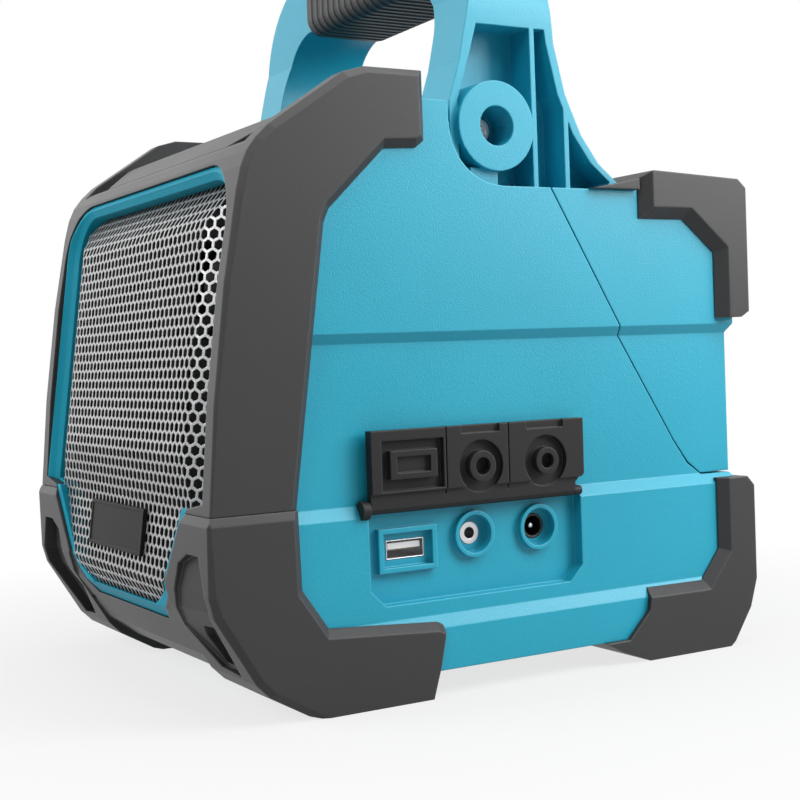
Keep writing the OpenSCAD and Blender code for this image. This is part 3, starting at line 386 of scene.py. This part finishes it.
real = step(sheet_tree, "GeometryNodeRealizeInstances", Geometry=cells.outputs[0])
joined = step(sheet_tree, "GeometryNodeMergeByDistance", Geometry=real.outputs[0], Distance=weld)
at = sheet_tree.nodes.new("ShaderNodeSeparateXYZ")
sheet_tree.links.new(sheet_tree.nodes.new("GeometryNodeInputPosition").outputs[0], at.inputs[0])


def bend(distance, run):
    """Rises evenly from 0 at the edge to 1 after a run, with a short round at the top of the bend."""
    part = calc(sheet_tree, "DIVIDE", calc(sheet_tree, "MAXIMUM", distance, 0.0), run)
    return calc(sheet_tree, "SMOOTH_MIN", part, 1.0, bend_round)


across = calc(sheet_tree, "ABSOLUTE", at.outputs["X"])
sides = bend(calc(sheet_tree, "SUBTRACT", sheet_half, across), side_run)
head = bend(calc(sheet_tree, "SUBTRACT", sheet_high, at.outputs["Y"]), head_run)
foot = bend(calc(sheet_tree, "SUBTRACT", at.outputs["Y"], sheet_low), foot_run)
shape = calc(sheet_tree, "MINIMUM", calc(sheet_tree, "MINIMUM", sides, head), foot)
slope = sheet_tree.nodes.new("ShaderNodeMapRange")
slope.inputs["From Min"].default_value = seat_end
slope.inputs["From Max"].default_value = crown_start
sheet_tree.links.new(at.outputs["Y"], slope.inputs["Value"])
sheet_tree.links.new(given["Seat"], slope.inputs["To Min"])
sheet_tree.links.new(given["Crown"], slope.inputs["To Max"])
rise = sheet_tree.nodes.new("ShaderNodeCombineXYZ")
domed = calc(sheet_tree, "MULTIPLY", shape, given["Crown"])
sheet_tree.links.new(calc(sheet_tree, "MINIMUM", domed, slope.outputs["Result"]), rise.inputs["Z"])
crowned = step(sheet_tree, "GeometryNodeSetPosition", Geometry=joined.outputs[0], Offset=rise.outputs[0])
placed = step(sheet_tree, "GeometryNodeTransform", Geometry=crowned.outputs[0],
              Translation=face + rim_depth * out_of_face, Rotation=(pi / 2 - lean, 0, 0))
painted = step(sheet_tree, "GeometryNodeSetMaterial", Geometry=placed.outputs[0], Material=given["Paint"])
sheet_tree.links.new(painted.outputs[0], ends_out.inputs["Geometry"])

row_pitch = cell_pitch * sqrt(3) / 2
centres = []
for row in range(-12, 32):
    for column in range(-22, 23):
        u = (column + 0.5 * (row % 2)) * cell_pitch
        v = row * row_pitch
        if sheet_covers(u, v, tucked_in):
            centres.append((u, v, 0))
dots = bpy.data.meshes.new("hex_grille")
dots.from_pydata(centres, [], [])
grille = bpy.data.objects.new("hex_grille", dots)
bpy.context.scene.collection.objects.link(grille)
grown(grille, sheet_tree, sheet_keys, {
    "Pitch": cell_pitch, "Hole": 0.0028, "Thickness": 0.0004, "Crown": 0.0076, "Seat": 0.005,
    "Paint": silver})
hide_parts("grille")
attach(grille, "housing")

# Front plate: a small bare moulding in black plastic with a low rim round it, stuck on the lower part of the
# grille's crown.
plate = moulded("black_plate", (0.005, 0.005, 0.005), (0.05, 0.05, 0.05), 0.6, grain=2000, depth=0.00001,
                radius=0.0004, shine=0.15)
finish_nodes(plate, "grille_badge")

# Drivers: a pressed basket and a tweeter cup in black, a paper cone with a rubber surround, a cloth dome and
# ferrite magnets. They sit on a black baffle behind the grille and only show through its holes.
matt_black = moulded("matt_black", (0.003, 0.003, 0.003), (0.01, 0.01, 0.01), 0.9, grain=1800,
                     depth=0.00004, shine=0.1)
finish_nodes(matt_black, "baffle", "woofer_basket", "tweeter_housing")
rubber = moulded("black_rubber", (0.006, 0.006, 0.006), (0.02, 0.02, 0.02), 0.85, grain=2400, depth=0.00003,
                 radius=0.0005, shine=0.15)
finish_nodes(rubber, "woofer_surround")
paper = moulded("cone_paper", (0.006, 0.006, 0.006), (0.015, 0.015, 0.015), 0.9, grain=900, depth=0.00008,
                patch=0.25, shine=0.1)
finish_nodes(paper, "woofer_cone")
silk = moulded("dome_cloth", (0.010, 0.010, 0.011), (0.02, 0.02, 0.02), 0.8, grain=3000, depth=0.00005,
               shine=0.2)
finish_nodes(silk, "tweeter_dome")
ferrite = moulded("ferrite", (0.06, 0.06, 0.063), (0.12, 0.12, 0.12), 0.55, grain=700, depth=0.00004,
                  patch=0.2)
finish_nodes(ferrite, "woofer_magnet", "tweeter_magnet")

# Battery bay: a box in black glass-filled nylon behind the rear cover, with two terminal blocks on its inner
# wall. The posts of the main board and the latch of the rear cover are moulded in the same plastic.
black = moulded("black_plastic", (0.006, 0.006, 0.006), (0.03, 0.03, 0.03), 0.45, grain=1800, depth=0.00002)
finish_nodes(black, "board_posts", "battery_bay", "cover_latch", "terminal_block_large",
             "terminal_block_small")

# Circuit boards: glass cloth under a green solder mask. The main board stands on posts in front of the
# battery bay, one small board carries the sockets, and one lies under the keys.
solder_mask = moulded("solder_mask", (0.02, 0.16, 0.07), (0.10, 0.25, 0.14), 0.3, grain=1200, depth=0.00001,
                      patch=0.2)
finish_nodes(solder_mask, "main_board", "key_board", "port_board")

# Keys: five rubber caps in the top panel, moulded in black, each with a raised pale sign for what it does.
# The signs are generic ones, and each moves with its key.
key_rubber = moulded("key_rubber", (0.018, 0.018, 0.019), (0.07, 0.07, 0.07), 0.55, grain=2400, depth=0.00002,
                     radius=0.0008)
sign_print = moulded("sign_print", (0.55, 0.56, 0.57), (0.6, 0.6, 0.6), 0.5, grain=2400, depth=0.00001,
                     radius=0.0001)
key_pitch = 0.02302
key_top = 0.0014
sign_foot = key_top - 0.0001
sign_top = key_top + 0.0002
panel_face = Matrix.Translation((0, -0.05, 0.177)) @ Matrix.Rotation(radians(8), 4, "X")


def bar(x, y, width, height):
    """Corners of an upright rectangle round a place."""
    return [(x - width / 2, y - height / 2), (x + width / 2, y - height / 2),
            (x + width / 2, y + height / 2), (x - width / 2, y + height / 2)]


def arc(radius, width, start, stop):
    """Corners of a piece of a ring, in steps of 15 degrees."""
    angles = [radians(a) for a in range(start, stop + 1, 15)]
    outer = [((radius + width / 2) * cos(a), (radius + width / 2) * sin(a)) for a in angles]
    inner = [((radius - width / 2) * cos(a), (radius - width / 2) * sin(a)) for a in reversed(angles)]
    return outer + inner


def prisms(name, outlines, bottom, top, place, material):
    """Flat outlines raised from one height to another, in a given frame, as one object."""
    solid = bmesh.new()
    for outline in outlines:
        low = [solid.verts.new(place @ Vector((x, y, bottom))) for x, y in outline]
        high = [solid.verts.new(place @ Vector((x, y, top))) for x, y in outline]
        solid.faces.new(high)
        solid.faces.new(low[::-1])
        for i in range(len(outline)):
            j = (i + 1) % len(outline)
            solid.faces.new((low[i], low[j], high[j], high[i]))
    mesh = bpy.data.meshes.new(name)
    solid.to_mesh(mesh)
    solid.free()
    mesh.materials.append(material)
    made = bpy.data.objects.new(name, mesh)
    bpy.context.scene.collection.objects.link(made)
    return made


stroke = 0.0006
play = [(-0.0022, -0.0018), (0.0004, 0), (-0.0022, 0.0018)]
signs = [
    [arc(0.002, stroke, 120, 420), bar(0, 0.0018, stroke, 0.0022)],
    [bar(0, 0, 0.0042, stroke)],
    [play, bar(0.0012, 0, stroke, 0.0036), bar(0.0024, 0, stroke, 0.0036)],
    [bar(0, 0, 0.0042, stroke), bar(0, 0.0012, stroke, 0.0018), bar(0, -0.0012, stroke, 0.0018)],
    [arc(0.0008, stroke, 0, 360), arc(0.0022, stroke, -45, 45), arc(0.0022, stroke, 135, 225)]]
for number, outlines in enumerate(signs, 1):
    finish_nodes(key_rubber, "key_%d" % number)
    shift = Matrix.Translation(((number - 3) * key_pitch, 0, 0))
    sign = prisms("key_%d_sign" % number, outlines, sign_foot, sign_top, panel_face @ shift, sign_print)
    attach(sign, "button_%d" % number)

# Port cover: one soft black moulding, with a pocket and a plug for each socket on its inner face. It hangs
# on a steel pin between a round lug and a hidden one.
cover_rubber = moulded("cover_rubber", (0.014, 0.014, 0.014), (0.09, 0.09, 0.09), 0.52, grain=2000,
                       shine=0.2)
finish_nodes(cover_rubber, "port_cover", "port_hinge_lugs")

# Sockets and pins: a tinned USB shell with a pale tongue and gilt contacts, a nickel ring round the audio
# bore, and a black power jack with a bright pin. All are soldered to the port board behind the wall. The pins
# of the covers and of the latch have the same plating.
steel = moulded("plated_steel", (0.58, 0.58, 0.60), (0.8, 0.8, 0.8), 0.3, grain=900, depth=0.000006,
                radius=0.0003, metal=1.0, patch=0.06)
finish_nodes(steel, "usb_socket", "aux_socket", "port_cover_pin", "cover_hinge_pins", "latch_pin")
finish_nodes(black, "dc_socket")
pale = moulded("tongue_plastic", (0.70, 0.70, 0.68), (0.75, 0.75, 0.74), 0.4, grain=1800, depth=0.00001,
               radius=0.0002)
gilt = moulded("gilt_contact", (0.80, 0.58, 0.22), (0.9, 0.7, 0.4), 0.25, grain=900, depth=0.000005,
               radius=0.0001, metal=1.0, patch=0.05)
usb_face = Matrix.Translation((0, -0.0342, 0.0448))
tongue = prisms("usb_tongue", [bar(0.0670, 0, 0.00972, 0.01124)], 0.00008, 0.00192, usb_face, pale)
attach(tongue, "housing")
strips = [bar(0.0676, (i - 1.5) * 0.0025, 0.0075, 0.001) for i in range(4)]
contacts = prisms("usb_contacts", strips, -0.00012, 0.00009, usb_face, gilt)
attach(contacts, "housing")
pin_mesh = bpy.data.meshes.new("power_pin")
pin = bpy.data.objects.new("power_pin", pin_mesh)
bpy.context.scene.collection.objects.link(pin)
jack_y = 0.0139
jack_z = 0.0471
turned = bmesh.new()
profile = [(0.0610, 0.00095), (0.0697, 0.00095), (0.0701, 0.0008), (0.0703, 0.00045), (0.07035, 0)]
points = [turned.verts.new((x, jack_y, jack_z + r)) for x, r in profile]
for a, b in zip(points, points[1:]):
    turned.edges.new((a, b))
bmesh.ops.spin(turned, geom=turned.verts[:] + turned.edges[:], cent=(0, jack_y, jack_z), axis=(1, 0, 0),
               angle=2 * pi, steps=24, use_merge=True)
bmesh.ops.remove_doubles(turned, verts=turned.verts[:], dist=0.000001)
bmesh.ops.recalc_face_normals(turned, faces=turned.faces[:])
turned.to_mesh(pin_mesh)
turned.free()
pin_mesh.materials.append(steel)
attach(pin, "housing")

# Screws: steel pan heads with a six-lobed recess. Two hold the ring bosses of the handle, four the corner
# pads from below and four blackened ones the flange of the woofer.
flank_share = 0.65
crown_share = 0.35
crown_width = 0.8
recess_width = 0.62
recess_depth = 0.6
lobes = 6.0
lobe_depth = 0.16
blackened = moulded("blackened_steel", (0.006, 0.006, 0.006), (0.02, 0.02, 0.02), 0.7, grain=900,
                    depth=0.00001, radius=0.0003, shine=0.2)
screw_tree, ends_in, ends_out, screw_keys = nodes_tree("lobed_screw", [
    ("Head Radius", "NodeSocketFloat"), ("Head Height", "NodeSocketFloat"),
    ("Shank Radius", "NodeSocketFloat"), ("Shank Length", "NodeSocketFloat"),
    ("Metal", "NodeSocketMaterial")])
given = ends_in.outputs
rim = step(screw_tree, "GeometryNodeMeshCircle", Vertices=24, Radius=given["Head Radius"])
rim.fill_type = "NGON"
flank = step(screw_tree, "GeometryNodeExtrudeMesh", Mesh=rim.outputs[0],
             Offset_Scale=calc(screw_tree, "MULTIPLY", given["Head Height"], flank_share))
crown = step(screw_tree, "GeometryNodeExtrudeMesh", Mesh=flank.outputs["Mesh"],
             Selection=flank.outputs["Top"],
             Offset_Scale=calc(screw_tree, "MULTIPLY", given["Head Height"], crown_share))
dome = step(screw_tree, "GeometryNodeScaleElements", Geometry=crown.outputs["Mesh"],
            Selection=crown.outputs["Top"], Scale=crown_width)
mouth = step(screw_tree, "GeometryNodeExtrudeMesh", Mesh=dome.outputs[0], Selection=crown.outputs["Top"],
             Offset_Scale=0.0)
small = step(screw_tree, "GeometryNodeScaleElements", Geometry=mouth.outputs["Mesh"],
             Selection=mouth.outputs["Top"], Scale=recess_width)
spot = screw_tree.nodes.new("ShaderNodeSeparateXYZ")
screw_tree.links.new(screw_tree.nodes.new("GeometryNodeInputPosition").outputs[0], spot.inputs[0])
turn = calc(screw_tree, "ARCTAN2", spot.outputs["Y"], spot.outputs["X"])
swing = calc(screw_tree, "COSINE", calc(screw_tree, "MULTIPLY", turn, lobes))
wave = calc(screw_tree, "MULTIPLY", swing, lobe_depth)
lobe = screw_tree.nodes.new("ShaderNodeCombineXYZ")
for axis in "XY":
    screw_tree.links.new(calc(screw_tree, "MULTIPLY", spot.outputs[axis], wave), lobe.inputs[axis])
lobed = step(screw_tree, "GeometryNodeSetPosition", Geometry=small.outputs[0], Selection=mouth.outputs["Top"],
             Offset=lobe.outputs[0])
bored = step(screw_tree, "GeometryNodeExtrudeMesh", Mesh=lobed.outputs[0], Selection=mouth.outputs["Top"],
             Offset_Scale=calc(screw_tree, "MULTIPLY", given["Head Height"], -recess_depth))
shank = step(screw_tree, "GeometryNodeMeshCylinder", Vertices=16, Radius=given["Shank Radius"],
             Depth=given["Shank Length"])
under = screw_tree.nodes.new("ShaderNodeCombineXYZ")
screw_tree.links.new(calc(screw_tree, "MULTIPLY", given["Shank Length"], -0.5), under.inputs["Z"])
lowered = step(screw_tree, "GeometryNodeTransform", Geometry=shank.outputs["Mesh"],
               Translation=under.outputs[0])
screw = screw_tree.nodes.new("GeometryNodeJoinGeometry")
screw_tree.links.new(bored.outputs["Mesh"], screw.inputs[0])
screw_tree.links.new(lowered.outputs[0], screw.inputs[0])
heading = screw_tree.nodes.new("GeometryNodeInputNamedAttribute")
heading.data_type = "FLOAT_VECTOR"
heading.inputs["Name"].default_value = "heading"
aimed = step(screw_tree, "FunctionNodeAlignRotationToVector", Vector=heading.outputs["Attribute"])
aimed.axis = "Z"
driven = step(screw_tree, "GeometryNodeInstanceOnPoints", Points=given["Geometry"], Instance=screw.outputs[0],
              Rotation=aimed.outputs[0])
real = step(screw_tree, "GeometryNodeRealizeInstances", Geometry=driven.outputs[0])
plated = step(screw_tree, "GeometryNodeSetMaterial", Geometry=real.outputs[0], Material=given["Metal"])
screw_tree.links.new(plated.outputs[0], ends_out.inputs["Geometry"])


def drive(name, places, head, shank, metal):
    """Screws at places and headings, for the plain ones of that name; head and shank as radius and length."""
    mesh = bpy.data.meshes.new(name + "_lobed")
    mesh.from_pydata([place for place, _ in places], [], [])
    headings = mesh.attributes.new("heading", "FLOAT_VECTOR", "POINT")
    for i, (_, way) in enumerate(places):
        headings.data[i].vector = way
    made = bpy.data.objects.new(name + "_lobed", mesh)
    bpy.context.scene.collection.objects.link(made)
    grown(made, screw_tree, screw_keys, {
        "Head Radius": head[0], "Head Height": head[1], "Shank Radius": shank[0], "Shank Length": shank[1],
        "Metal": metal})
    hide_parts(name)
    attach(made, "housing")


boss_places = [((side * 0.063, 0.0029, 0.1725), (side, 0, 0)) for side in (-1, 1)]
drive("handle_screws", boss_places, (0.0044, 0.0026), (0.00199, 0.015), steel)
pad_places = [((side * x, y, 0.0032), (0, 0, -1))
              for side in (-1, 1) for x, y in ((0.062, -0.05), (0.066, 0.07))]
drive("bumper_screws", pad_places, (0.0035, 0.002), (0.0015, 0.0065), steel)
flange_depth = 0.0085
woofer_side = -0.013
woofer_height = 0.028
screw_circle = 0.0478
across_face = Vector((1, 0, 0))
up_the_face = Vector((0, sin(lean), cos(lean)))
flange = face - flange_depth * out_of_face + woofer_side * across_face + woofer_height * up_the_face
flange_places = []
for angle in (45, 135, 225, 315):
    spoke = cos(radians(angle)) * across_face + sin(radians(angle)) * up_the_face
    flange_places.append((flange + screw_circle * spoke, out_of_face))
drive("woofer_screws", flange_places, (0.0026, 0.001), (0.0015, 0.0035), blackened)

# Grip: raised ribs across the soft sleeve of the handle, in the sleeve's own rubber and moulded with it.
# Each rib is a band round the sleeve with bevelled edges, and they stand in one row along the bar.
rib_count = 15
rib_pitch = 0.0042
sleeve_corners = [(0.022, 0.242, 0), (0, 0.242, 90), (0, 0.228, 180), (0.022, 0.228, 270)]
rings = [(-0.0009, 0.0059), (-0.0005, 0.0064), (0.0005, 0.0064), (0.0009, 0.0059)]
rib_tree, ends_in, ends_out, rib_keys = nodes_tree("grip_ribs", [
    ("Count", "NodeSocketInt"), ("Pitch", "NodeSocketFloat"), ("Rubber", "NodeSocketMaterial")])
given = ends_in.outputs
stride = rib_tree.nodes.new("ShaderNodeCombineXYZ")
rib_tree.links.new(given["Pitch"], stride.inputs["X"])
first = rib_tree.nodes.new("ShaderNodeCombineXYZ")
spans = calc(rib_tree, "SUBTRACT", given["Count"], 1.0)
row_length = calc(rib_tree, "MULTIPLY", spans, given["Pitch"])
rib_tree.links.new(calc(rib_tree, "MULTIPLY", row_length, -0.5), first.inputs["X"])
line = step(rib_tree, "GeometryNodeMeshLine", Count=given["Count"], Start_Location=first.outputs[0],
            Offset=stride.outputs[0])
ribs = step(rib_tree, "GeometryNodeInstanceOnPoints", Points=line.outputs[0], Instance=given["Geometry"])
real = step(rib_tree, "GeometryNodeRealizeInstances", Geometry=ribs.outputs[0])
coated = step(rib_tree, "GeometryNodeSetMaterial", Geometry=real.outputs[0], Material=given["Rubber"])
rib_tree.links.new(coated.outputs[0], ends_out.inputs["Geometry"])

rib_loop = []
for y, z, start in sleeve_corners:
    for a in range(start, start + 91, 15):
        rib_loop.append((Vector((0, y, z)), Vector((0, cos(radians(a)), sin(radians(a))))))
rib_points = [centre + reach * way + Vector((x, 0, 0)) for x, reach in rings for centre, way in rib_loop]
count = len(rib_loop)
rib_faces = []
for k in range(len(rings) - 1):
    for i in range(count):
        j = (i + 1) % count
        rib_faces.append((k * count + i, k * count + j, (k + 1) * count + j, (k + 1) * count + i))
rib_mesh = bpy.data.meshes.new("grip_ribs")
rib_mesh.from_pydata(rib_points, [], rib_faces)
grip_ribs = bpy.data.objects.new("grip_ribs", rib_mesh)
bpy.context.scene.collection.objects.link(grip_ribs)
grown(grip_ribs, rib_tree, rib_keys, {"Count": rib_count, "Pitch": rib_pitch, "Rubber": elastomer})
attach(grip_ribs, "housing")
